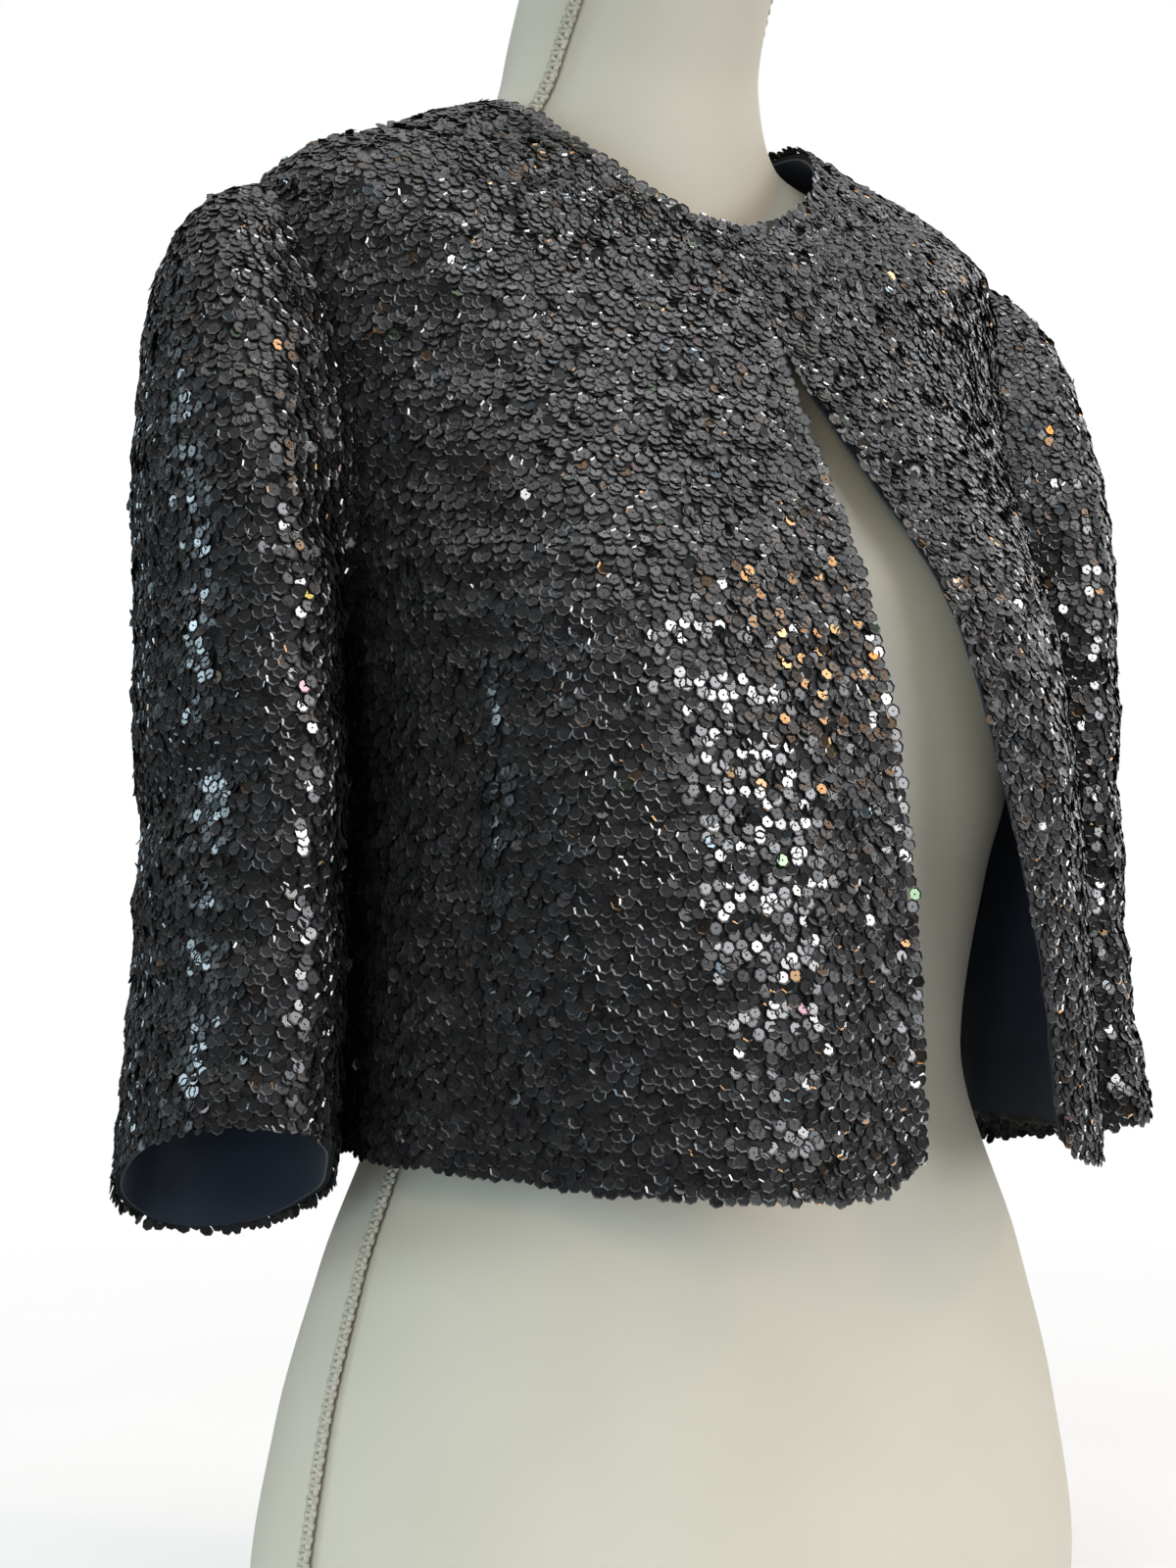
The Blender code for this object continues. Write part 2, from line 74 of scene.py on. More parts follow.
JACKET_RINGS = (
    Ring("hem", 0.2135, 0.225, 0.226, 0.1440, 0.008, 0.143, 0.114, 2.3),
    Ring("waist", 0.285, 0.285, 0.285, 0.1420, 0.009, 0.140, 0.108, 2.3),
    Ring("under bust", 0.355, 0.352, 0.355, 0.1410, 0.010, 0.130, 0.106, 2.3),
    Ring("bust", 0.420, 0.418, 0.425, 0.1430, 0.012, 0.115, 0.108, 2.3),
    Ring("chest", 0.469, 0.470, 0.482, 0.1480, 0.015, 0.090, 0.112, 2.2),
    Ring("upper chest", 0.508, 0.525, 0.538, 0.1600, 0.019, 0.071, 0.111, 1.95),
    Ring("shoulder", 0.537, 0.5765, 0.592, 0.1690, 0.025, 0.056, 0.103, 1.8),
    Ring("mid shoulder", 0.552, 0.5995, 0.616, 0.1200, 0.031, 0.048, 0.094, 1.95),
    Ring("neck", 0.564, 0.618, 0.631, 0.0730, 0.034, 0.041, 0.082, 2.15),
)

# A swelling (or, below nought, a trough) in a ring surface: its angle and half-width in degrees,
# the level where it starts, the level where it is full, its depth there and its depth at level 0
Fold = namedtuple("Fold", "name angle spread starts full depth low_depth")

FORM_FOLDS = (
    Fold("right bust", -37, 21, 8.6, 6.95, 0.018, 0.0),
    Fold("left bust", 37, 21, 8.6, 6.95, 0.018, 0.0),
)
JACKET_FOLDS = (
    Fold("right bust", -37, 23, 5.0, 2.8, 0.014, 0.005),
    Fold("left bust", 37, 23, 5.0, 2.8, 0.014, 0.005),
    Fold("right front roll", -16, 11, 2.6, 0.6, 0.004, 0.006),
    Fold("right front hollow", -50, 12, 2.4, 0.5, -0.004, -0.007),
    Fold("right side roll", -72, 10, 2.2, 0.5, 0.003, 0.004),
    Fold("left edge flare", 36, 12, 3.4, 0.8, 0.009, 0.013),
    Fold("left front roll", 62, 9, 2.8, 0.8, 0.006, 0.008),
    Fold("left crevice", 79, 6, 2.8, 0.8, -0.006, -0.008),
    Fold("right shoulder blade", -148, 24, 6.0, 4.1, 0.006, 0.002),
    Fold("left shoulder blade", 148, 24, 6.0, 4.1, 0.006, 0.002),
    Fold("right back roll", -157, 11, 2.6, 0.5, 0.003, 0.006),
    Fold("middle back hollow", 180, 12, 2.8, 0.5, -0.003, -0.006),
    Fold("left back roll", 157, 11, 2.6, 0.5, 0.003, 0.006),
    Fold("right back hollow", -128, 12, 2.4, 0.5, -0.002, -0.005),
    Fold("left back hollow", 128, 12, 2.4, 0.5, -0.002, -0.005),
)

# Where the two front edges lie at each jacket ring, in degrees from the centre front
FrontEdge = namedtuple("FrontEdge", "right left")
FRONT_EDGES = (
    FrontEdge(3.8, 29.0),
    FrontEdge(3.8, 27.0),
    FrontEdge(3.4, 22.5),
    FrontEdge(2.4, 18.0),
    FrontEdge(1.2, 10.4),
    FrontEdge(0.2, 3.9),
    FrontEdge(0.0, 1.0),
    FrontEdge(0.0, 0.1),
    FrontEdge(0.0, 0.0),
)
SIDE = 90.0
CORNER_LEVEL = 0.15
CORNER_SHARE = 0.12

# The armhole is an ellipse round the side, in levels and degrees
UNDERARM_LEVEL = 2.7
TIP_LEVEL = 6.0
ARMHOLE_FRONT = 19.0
ARMHOLE_BACK = 28.0

# Each sleeve is a tube under the armhole: the middle of its rings and their half sizes
SleeveRing = namedtuple("SleeveRing", "name z x y half_x half_y")
SLEEVE_RINGS = (
    SleeveRing("upper arm", 0.385, 0.1765, 0.014, 0.0310, 0.0615),
    SleeveRing("middle", 0.300, 0.1780, 0.013, 0.0310, 0.0625),
    SleeveRing("cuff", 0.215, 0.1850, 0.009, 0.0320, 0.0650),
)
CUFF_SLOPES = {"right": 0.50, "left": 0.14}
CUFF_TURN = math.radians(45)
HEAD_RISE = math.radians(-7)
HEAD_REACH = 0.30
FALL_REACH = 0.45
UNDERARM_TURN = 0.7

# A soft crease across a sleeve: its height, where round the sleeve, its sizes and its depth
Crease = namedtuple("Crease", "name z turn half_height half_turn rise depth")
SLEEVE_CREASES = (
    Crease("outer bend", 0.352, 20, 0.017, 60, 0.010, -0.0045),
    Crease("front bend", 0.395, 105, 0.015, 45, -0.012, -0.0040),
    Crease("back bend", 0.320, 285, 0.018, 50, 0.012, -0.0040),
)

# The braid sewn on each side of the form
Stretch = namedtuple("Stretch", "name low high low_angle high_angle turn")
BRAID_STRETCHES = (
    Stretch("hip", 0.15, 3.75, 78.0, 83.0, 0.0),
    Stretch("neck", 12.30, 13.85, 80.0, 66.0, 12.0),
)
BRAID_HEIGHT = 0.0030
BRAID_CLEAR = 0.0009

# The hook and eye lie on the lining just under the neck edge: how far their closed ends and
# their sewn ends lie from the centre front, to the wearer's left
WIRE = 0.0010
Wire = namedtuple("Wire", "name closed sewn half_height layer")
NECK_WIRES = (
    Wire("neck_hook", 0.0022, -0.0068, 0.0012, 1),
    Wire("neck_eye", -0.0012, 0.0070, 0.0022, 0),
)
WIRE_LEVEL = 7.45
WIRE_CLEAR = 0.0008

STEP = 1e-3

# The solids' rings are evened out over this many levels, less near the neck and the hem
SOFTEN = 0.6
SOFTEN_NEAR = 1.0
TOP_LEVEL = len(JACKET_RINGS) - 1

# A trough (or ridge) in the jacket's cloth, from one place to another
Drape = namedtuple("Drape", "name angle0 level0 angle1 level1 width depth")
DRAPES = (
    Drape("right bust to hem", -52, 3.3, -60, 0.1, 0.013, -0.0026),
    Drape("right bust to hem, ridge", -40, 2.9, -43, 0.0, 0.014, 0.0018),
    Drape("right inner fall", -22, 2.7, -17, 0.3, 0.016, -0.0016),
    Drape("right underarm pull", -66, 4.0, -41, 3.2, 0.011, -0.0026),
    Drape("right shoulder to bust", -66, 5.6, -44, 4.4, 0.013, -0.0022),
    Drape("right collarbone", -30, 6.6, -8, 5.4, 0.014, -0.0012),
    Drape("left bust to hem", 52, 3.2, 57, 0.1, 0.012, -0.0026),
    Drape("left underarm pull", 67, 3.9, 45, 3.3, 0.011, -0.0024),
    Drape("left shoulder to bust", 65, 5.7, 42, 4.5, 0.013, -0.0020),
    Drape("left edge roll", 31, 2.6, 33, 0.4, 0.009, 0.0016),
    Drape("left collarbone", 34, 6.5, 14, 5.5, 0.013, -0.0014),
    Drape("right back blade to hem", -152, 3.9, -150, 0.0, 0.016, -0.0028),
    Drape("middle back fall", 176, 3.3, 179, 0.0, 0.018, -0.0024),
    Drape("left back blade to hem", 150, 3.7, 154, 0.1, 0.015, -0.0028),
    Drape("right back armhole pull", -118, 4.4, -141, 3.5, 0.012, -0.0026),
    Drape("left back armhole pull", 119, 4.2, 143, 3.6, 0.012, -0.0024),
    Drape("back neck hollow, right", -166, 7.2, -150, 6.2, 0.015, -0.0016),
    Drape("back neck hollow, left", 168, 7.1, 149, 6.1, 0.015, -0.0014),
    Drape("right side waist", -108, 1.7, -132, 1.2, 0.011, -0.0018),
    Drape("left side waist", 106, 1.5, 134, 1.9, 0.011, -0.0018),
)
# The tight bands of sequins make the cloth ripple from the hem to the neck
RIPPLE_PITCH = 0.0203
RIPPLE_DEPTH = 0.00056
RIPPLE_WANDER_X = 0.9
RIPPLE_WANDER_Y = 0.7
RIPPLE_MIDDLE_STRENGTH = 0.75
RIPPLE_STRENGTH_SWING = 0.25

# How a drape's depth varies along it, and how it runs out past its ends
DRAPE_SWELL = 0.35
DRAPE_SWELL_WAVES = 9
DRAPE_WHOLE = 1.15
DRAPE_FADE = 1.3

# The sleeve's added creases start this far from its seam, in rows
SEAM_ROWS = 0.35
SLEEVE_DRAPES = (
    Crease("cap, front", 0.505, 62, 0.016, 40, -0.014, -0.0022),
    Crease("cap, back", 0.490, 300, 0.017, 42, 0.012, -0.0022),
    Crease("upper front", 0.448, 110, 0.014, 40, 0.010, -0.0026),
    Crease("upper outer", 0.425, 10, 0.013, 42, -0.008, -0.0020),
    Crease("elbow front", 0.312, 92, 0.013, 46, 0.012, -0.0026),
    Crease("elbow outer", 0.285, 350, 0.013, 44, -0.010, -0.0024),
    Crease("lower front", 0.262, 70, 0.012, 40, -0.008, -0.0018),
    Crease("lower back", 0.262, 268, 0.014, 46, -0.010, -0.0024),
    Crease("upper back", 0.400, 262, 0.016, 44, 0.010, -0.0026),
    Crease("inner bend", 0.330, 180, 0.015, 46, 0.006, -0.0020),
)


def smooth_through(values, at):
    """A column of a table read between its rows, smoothly and with no overshoot."""
    values = np.asarray(values, float)
    steps = np.diff(values)
    slopes = np.zeros(len(values))
    slopes[0], slopes[-1] = steps[0], steps[-1]
    same_way = np.flatnonzero(steps[:-1] * steps[1:] > 0)
    for i in same_way:
        slopes[i + 1] = 2 * steps[i] * steps[i + 1] / (steps[i] + steps[i + 1])
    row = np.clip(np.floor(at).astype(int), 0, len(values) - 2)
    s = at - row
    rise = values[row + 1] - values[row]
    return (
        values[row]
        + s * slopes[row]
        + s**2 * (3 * rise - 2 * slopes[row] - slopes[row + 1])
        + s**3 * (slopes[row] + slopes[row + 1] - 2 * rise)
    )


def eased(share):
    share = np.clip(share, 0.0, 1.0)
    return share * share * (3 - 2 * share)


def unit(vectors):
    return vectors / np.linalg.norm(vectors, axis=-1, keepdims=True)


def ring_point(rings, angle, level):
    """The plain point of a ring surface, before its folds."""
    angle, level = np.broadcast_arrays(np.asarray(angle, float), np.asarray(level, float))
    column = {c: smooth_through([getattr(r, c) for r in rings], level) for c in Ring._fields[1:]}
    across, ahead = np.sin(angle), np.cos(angle)
    square = column["square"]
    span = (np.abs(across) ** square + np.abs(ahead) ** square) ** (-1 / square)
    reach = np.where(ahead > 0, column["front"] + column["side_y"], column["back"] - column["side_y"])
    face_z = np.where(ahead > 0, column["z_front"], column["z_back"])
    return np.stack(
        [
            column["half_width"] * span * across,
            column["side_y"] - reach * span * ahead,
            column["z_side"] + (face_z - column["z_side"]) * ahead**2,
        ],
        axis=-1,
    )


def fold_depth(folds, angle, level):
    degrees = np.degrees(angle)
    total = np.zeros(np.broadcast(degrees, level).shape)
    for fold in folds:
        away = (degrees - fold.angle + 180) % 360 - 180
        above = eased((fold.starts - level) / (fold.starts - fold.full))
        below = fold.low_depth + (fold.depth - fold.low_depth) * eased(level / fold.full)
        depth = np.where(level > fold.full, fold.depth * above, below)
        total = total + depth * np.exp(-((away / fold.spread) ** 2))
    return total


def normal_of(surface, first, second):
    """The outward normal of a surface whose first number runs to the right, seen from outside."""
    along = surface(first + STEP, second) - surface(first - STEP, second)
    up = surface(first, second + STEP) - surface(first, second - STEP)
    return unit(np.cross(along, up))


def folded(rings, folds, angle, level):
    def plain(a, b):
        return ring_point(rings, a, b)

    outward = normal_of(plain, angle, level)
    return plain(angle, level) + outward * fold_depth(folds, angle, level)[..., None]


def form_point(angle, level):
    return folded(FORM_RINGS, FORM_FOLDS, angle, level)


def plain_jacket_point(angle, level):
    return folded(JACKET_RINGS, JACKET_FOLDS, angle, level)


def even_jacket_point(angle, level):
    """The solids' surface with the breaks at its rings evened out."""
    level = np.asarray(level, float)
    reach = SOFTEN * eased(np.minimum(level, TOP_LEVEL - level) / SOFTEN_NEAR)
    around = plain_jacket_point(angle, level - reach) + plain_jacket_point(angle, level + reach)
    return plain_jacket_point(angle, level) / 2 + around / 4


def drape_lines():
    lines = []
    for drape in DRAPES:
        start = even_jacket_point(math.radians(drape.angle0), drape.level0)
        end = even_jacket_point(math.radians(drape.angle1), drape.level1)
        lines.append((start, end - start, drape))
    return lines


def ripple(place):
    """The sequin bands' own ripple, stronger in some places than in others."""
    x, y, z = place[..., 0], place[..., 1], place[..., 2]
    wander = RIPPLE_WANDER_X * np.sin(23 * x + 5 * z) + RIPPLE_WANDER_Y * np.sin(31 * y - 8 * z)
    strength = RIPPLE_MIDDLE_STRENGTH + RIPPLE_STRENGTH_SWING * np.sin(17 * x - 11 * y + 3)
    return RIPPLE_DEPTH * strength * np.sin(math.tau * z / RIPPLE_PITCH + wander)


def jacket_point(angle, level):
    """The jacket's surface with its creases."""
    place = even_jacket_point(angle, level)
    depth = ripple(place)
    for start, span, drape in LINES:
        along = np.sum((place - start) * span, axis=-1) / np.sum(span * span)
        near = start + np.clip(along, 0.0, 1.0)[..., None] * span
        away = np.linalg.norm(place - near, axis=-1)
        swell = 1 + DRAPE_SWELL * np.sin(DRAPE_SWELL_WAVES * along + drape.angle0)
        fade = eased(DRAPE_WHOLE - np.abs(along - 0.5) * DRAPE_FADE)
        depth = depth + drape.depth * swell * fade * np.exp(-((away / drape.width) ** 2))
    return place + normal_of(plain_jacket_point, angle, level) * depth[..., None]


def armhole_middle():
    return (UNDERARM_LEVEL + TIP_LEVEL) / 2, (TIP_LEVEL - UNDERARM_LEVEL) / 2


def armhole_bite(level, widest):
    """How many degrees short of the side a panel stops at a level, beside the armhole."""
    middle, half = armhole_middle()
    q = np.clip((level - middle) / half, -1.0, 1.0)
    return widest * np.sqrt(1 - q * q)


def seam_degrees(level, radii):
    """Half the seam gap as an angle on the jacket's rings, whose radii square to it are given."""
    return np.degrees(SEAM / 2 / smooth_through(radii, level))


def front_angles(level, share, side):
    """Angle on a front panel, from its front edge (share 0) to its side (share 1)."""
    edge = smooth_through([getattr(e, side) for e in FRONT_EDGES], level)
    sign = 1 if side == "left" else -1
    start = edge + sign * seam_degrees(level, [r.half_width for r in JACKET_RINGS])
    side_gap = seam_degrees(level, [r.front + r.side_y for r in JACKET_RINGS])
    end = sign * (SIDE - armhole_bite(level, ARMHOLE_FRONT) - side_gap)
    return np.radians(start + (end - start) * share)


def back_angles(level, share):
    """Angle on the back panel, from the wearer's right side (share 0) to the left."""
    side_gap = seam_degrees(level, [r.back - r.side_y for r in JACKET_RINGS])
    reach = 180 - SIDE - armhole_bite(level, ARMHOLE_BACK) - side_gap
    return np.radians(180 + reach * (1 - 2 * share))


def rounded_corner(level, share):
    """The level near a front's lower corner, lifted so that the corner is round."""
    near = np.clip(1 - share / CORNER_SHARE, 0.0, 1.0) ** 2
    low = np.clip(1 - level, 0.0, 1.0)
    return level + CORNER_LEVEL * near * low


def sleeve_crease_depth(creases, turn, z):
    degrees = np.degrees(turn)
    total = np.zeros(np.broadcast(degrees, z).shape)
    for crease in creases:
        away = (degrees - crease.turn + 180) % 360 - 180
        lift = crease.z + crease.rise * away / crease.half_turn
        total = total + crease.depth * np.exp(
            -((away / crease.half_turn) ** 2) - ((z - lift) / crease.half_height) ** 2
        )
    return total


def sleeve_point(turn, row, side):
    """Turn 0 is the shoulder tip, a quarter turn the front. Rows 0 to 1 are the sleeve's cap."""
    sign = 1 if side == "left" else -1
    turn, row = np.broadcast_arrays(np.asarray(turn, float), np.asarray(row, float))
    middle, half = armhole_middle()
    widest = np.where(np.sin(turn) > 0, ARMHOLE_FRONT, ARMHOLE_BACK)
    level = middle + half * np.cos(turn)
    angle = sign * np.radians(SIDE - widest * np.sin(turn))
    edge = jacket_point(angle, level)
    outward = normal_of(plain_jacket_point, angle, level)
    over = np.array([sign * math.cos(HEAD_RISE), 0.0, math.sin(HEAD_RISE)])
    share = (np.abs(np.sin(turn / 2)) ** UNDERARM_TURN)[..., None]
    leaving = unit(over * (1 - share) + outward * share)
    start = edge + leaving * SEAM

    tube = {
        c: smooth_through([getattr(r, c) for r in SLEEVE_RINGS], np.clip(row - 1, 0.0, 2.0))
        for c in SleeveRing._fields[1:]
    }
    round_x = tube["half_x"] * np.cos(turn)
    round_y = -tube["half_y"] * np.sin(turn)
    away = math.sin(CUFF_TURN) * -round_x + math.cos(CUFF_TURN) * round_y
    drop = CUFF_SLOPES[side] * away * eased((row - 1) / 2)
    lower = np.stack(
        [sign * (tube["x"] + round_x), tube["y"] + round_y, tube["z"] - drop], axis=-1
    )
    length = np.linalg.norm(lower - start, axis=-1, keepdims=True)
    s = np.clip(row, 0.0, 1.0)[..., None]
    first = start + leaving * length * HEAD_REACH
    second = lower + np.array([0.0, 0.0, 1.0]) * length * FALL_REACH
    cap = (
        start * (1 - s) ** 3
        + 3 * first * s * (1 - s) ** 2
        + 3 * second * s**2 * (1 - s)
        + lower * s**3
    )
    place = np.where((row < 1)[..., None], cap, lower)
    flat = unit(np.stack([sign * np.cos(turn), -np.sin(turn), 0 * turn], axis=-1))
    depth = sleeve_crease_depth(SLEEVE_CREASES, turn, place[..., 2])
    added = sleeve_crease_depth(SLEEVE_DRAPES, turn, place[..., 2]) + ripple(place)
    return place + flat * (depth + added * eased(row / SEAM_ROWS))[..., None]


LINES = drape_lines()

# How finely the cloth is divided
HEM_ROWS = 26
ARMHOLE_ROWS = 40
YOKE_ROWS = 16
FRONT_SHARES = 34
BACK_SHARES = 64
CUFF_TO_ARM_ROWS = 30
CAP_SEAM_ROWS = 26
SLEEVE_TURNS = 64
CAP_CROWDING = 1.15
SEWN_SHARES = 150
SEWN_ROWS = 240
CLOTH_SHARP = 60
FORM_SHARP = 50
BRAID_SHARP = 70
WIRE_SHARP = 50


def panel_levels(hem, armhole, yoke):
    middle, half = armhole_middle()
    turns = np.linspace(0.0, math.pi, armhole + 1)
    below = np.linspace(0.0, UNDERARM_LEVEL, hem, endpoint=False)
    above = np.linspace(TIP_LEVEL, TOP_LEVEL, yoke + 1)[1:]
    return np.concatenate([below, middle - half * np.cos(turns), above])


def front_places(side, levels, shares):
    level, share = np.meshgrid(levels, shares, indexing="ij")
    level = rounded_corner(level, share)
    return front_angles(level, share, side), level


def back_places(levels, shares):
    level, share = np.meshgrid(levels, shares, indexing="ij")
    return back_angles(level, share), level


def panel_places(panel, levels, shares):
    if panel == "back":
        return back_places(levels, shares)
    return front_places(panel.split("_")[0], levels, shares)


def sleeve_surface(side):
    sign = 1 if side == "right" else -1

    def surface(turn, row):
        return sleeve_point(sign * turn, -row, side)

    return surface


def sleeve_places(side, rows, turns):
    """Rows run from the cuff to the armhole, turns from the underarm all the way round."""
    sign = 1 if side == "right" else -1
    row, turn = np.meshgrid(rows, turns, indexing="ij")
    return sign * (turn + math.pi), -row


def sleeve_rows(tube, cap):
    even = np.linspace(0.0, 1.0, cap + 1)
    return np.concatenate([np.linspace(3.0, 1.0, tube, endpoint=False), (1 - even) ** CAP_CROWDING])


def grid_normals(surface, first, second, place, wraps):
    """The outward normals of a grid of places on a surface."""
    if wraps:
        across = np.roll(place, -1, axis=1) - np.roll(place, 1, axis=1)
    else:
        across = np.gradient(place, axis=1)
    outward = unit(np.cross(across, np.gradient(place, axis=0)))
    middle = tuple(n // 2 for n in first.shape)
    true = normal_of(surface, first[middle], second[middle])
    return outward * np.sign(np.dot(outward[middle], true))


def grid_faces(rows, columns, wraps):
    r = np.arange(rows - 1)[:, None]
    c = np.arange(columns if wraps else columns - 1)[None, :]
    low, across = r * columns + c, r * columns + (c + 1) % columns
    return np.stack([low, across, across + columns, low + columns], axis=-1).reshape(-1, 4)


def rim_faces(rows, columns, wraps):
    """The faces that join the border of the outer grid to that of the inner grid."""
    c = np.arange(columns if wraps else columns - 1)
    pairs = [(c, (c + 1) % columns)]
    pairs.append((pairs[0][0] + (rows - 1) * columns, pairs[0][1] + (rows - 1) * columns))
    if not wraps:
        r = np.arange(rows - 1) * columns
        pairs.append((r, r + columns))
        pairs.append((r + columns - 1, r + 2 * columns - 1))
    inner = rows * columns
    return np.concatenate([np.stack([a, b, b + inner, a + inner], axis=-1) for a, b in pairs])


def new_object(name, mesh, finishes):
    for finish in finishes:
        mesh.materials.append(finish)
    made = bpy.data.objects.new(name, mesh)
    bpy.context.scene.collection.objects.link(made)
    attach(made, "root")
    return made


def solid_object(name, points, faces, finish, sharp=CLOTH_SHARP):
    mesh = bpy.data.meshes.new(name)
    mesh.from_pydata(points.reshape(-1, 3).tolist(), [], [tuple(f) for f in faces])
    shaped = bmesh.new()
    shaped.from_mesh(mesh)
    bmesh.ops.recalc_face_normals(shaped, faces=shaped.faces)
    shaped.to_mesh(mesh)
    shaped.free()
    mesh.shade_smooth()
    mesh.set_sharp_from_angle(angle=math.radians(sharp))
    return new_object(name, mesh, [finish])


def cloth_shell(name, surface, first, second, lining, wraps, finish):
    place = surface(first, second)
    outward = grid_normals(surface, first, second, place, wraps)
    top, under = (CLOTH + GAP, CLOTH + GAP + LINING) if lining else (0.0, CLOTH)
    rows, columns = first.shape
    faces = grid_faces(rows, columns, wraps)
    faces = [*faces, *(faces[:, ::-1] + rows * columns), *rim_faces(rows, columns, wraps)]
    points = np.stack([place - outward * top, place - outward * under])
    return solid_object(name, points, faces, finish)


# Cup sequins, sewn in rows that overlap like shingles
SEQUIN = 0.00278
SEQUIN_FLAT = 0.0021
SEQUIN_CUP = 0.00030
SEQUIN_SIDES = 7
SEQUIN_LIFT = 0.0007
KNOT = 0.00042
ROW_GAP = 0.0033
SEQUIN_GAP = 0.0047
SHINGLE_TILT = 5.0
NEIGHBOUR_TILT = 2.0
LEAN_SPREAD = 3.6
ROLL_SPREAD = 2.4
LOOSE_SHARE = 0.18
LOOSE_SPREAD = 14.0
ALONG_SPREAD = 0.0009
UP_SPREAD = 0.0007
EDGE_GAP = 0.0043
EDGE_REACH = 0.0009
SIZE_RANGE = (0.94, 1.05)
CUP_RANGE = (0.7, 1.25)
LIFT_SPREAD = 0.0002
KNOT_LIFT = 0.00012
KNOT_SIDES = 4

# The first row's place in row gaps, where each row starts in sequin gaps, how far every other row
# is moved along, and how close the rows come to the top, to the row's start and to its end
FIRST_ROW = 0.35
ROW_START = 0.25
ROW_STAGGER = 0.5
TOP_MARGIN = 0.0004
START_MARGIN = 0.0006
END_MARGIN = 0.0004


def interpolated(rows, index, columns=None):
    """Rows read at fractional indices, or each column of a grid at its own indices."""
    low = np.clip(np.floor(index).astype(int), 0, len(rows) - 2)
    part = (index - low)[..., None]
    if columns is None:
        return rows[low] * (1 - part) + rows[low + 1] * part
    return rows[low, columns] * (1 - part) + rows[low + 1, columns] * part


def along_line(line):
    return np.concatenate([[0.0], np.cumsum(np.linalg.norm(np.diff(line, axis=0), axis=-1))])


def sewn_rows(place, outward, chance):
    """Even places on a grid of points: rows lie an even distance up each column."""
    rows, columns = place.shape[:2]
    steps = np.linalg.norm(np.diff(place, axis=0), axis=-1)
    height = np.concatenate([np.zeros((1, columns)), np.cumsum(steps, axis=0)])
    wanted = np.arange(FIRST_ROW, height[-1].max() / ROW_GAP) * ROW_GAP
    index = np.stack(
        [np.interp(wanted, height[:, c], np.arange(rows)) for c in range(columns)], axis=1
    )
    upward = np.gradient(place, axis=0)
    every = np.arange(columns)[None, :]
    there, facing, rising = (interpolated(g, index, every) for g in (place, outward, upward))
    found = []
    for k, at in enumerate(wanted):
        travelled = along_line(there[k])
        count = int(travelled[-1] / SEQUIN_GAP)
        if count < 1:
            continue
        gap = travelled[-1] / count
        spots = (np.arange(count) + ROW_START + ROW_STAGGER * (k % 2)) * gap
        spots = spots + chance.normal(0, ALONG_SPREAD, count)
        column = np.interp(spots, travelled, np.arange(columns))
        kept = np.interp(column, np.arange(columns), height[-1]) > at + TOP_MARGIN
        kept &= (spots > START_MARGIN) & (spots < travelled[-1] - END_MARGIN)
        column = column[kept]
        found.append([interpolated(g[k], column) for g in (there, facing, rising)])
    return [np.concatenate(parts) for parts in zip(*found)]


def edge_row(line, outward, away, gap):
    """Places along one edge of a panel, a little past it."""
    travelled = along_line(line)
    count = max(2, int(travelled[-1] / gap))
    spots = np.linspace(0, travelled[-1], count)
    column = np.interp(spots, travelled, np.arange(len(line)))
    place, facing, out = (interpolated(g, column) for g in (line, outward, unit(away)))
    return place + out * EDGE_REACH, facing, -out


def turned(angle, chance, count, spread):
    return np.radians(angle + chance.normal(0, spread, count))


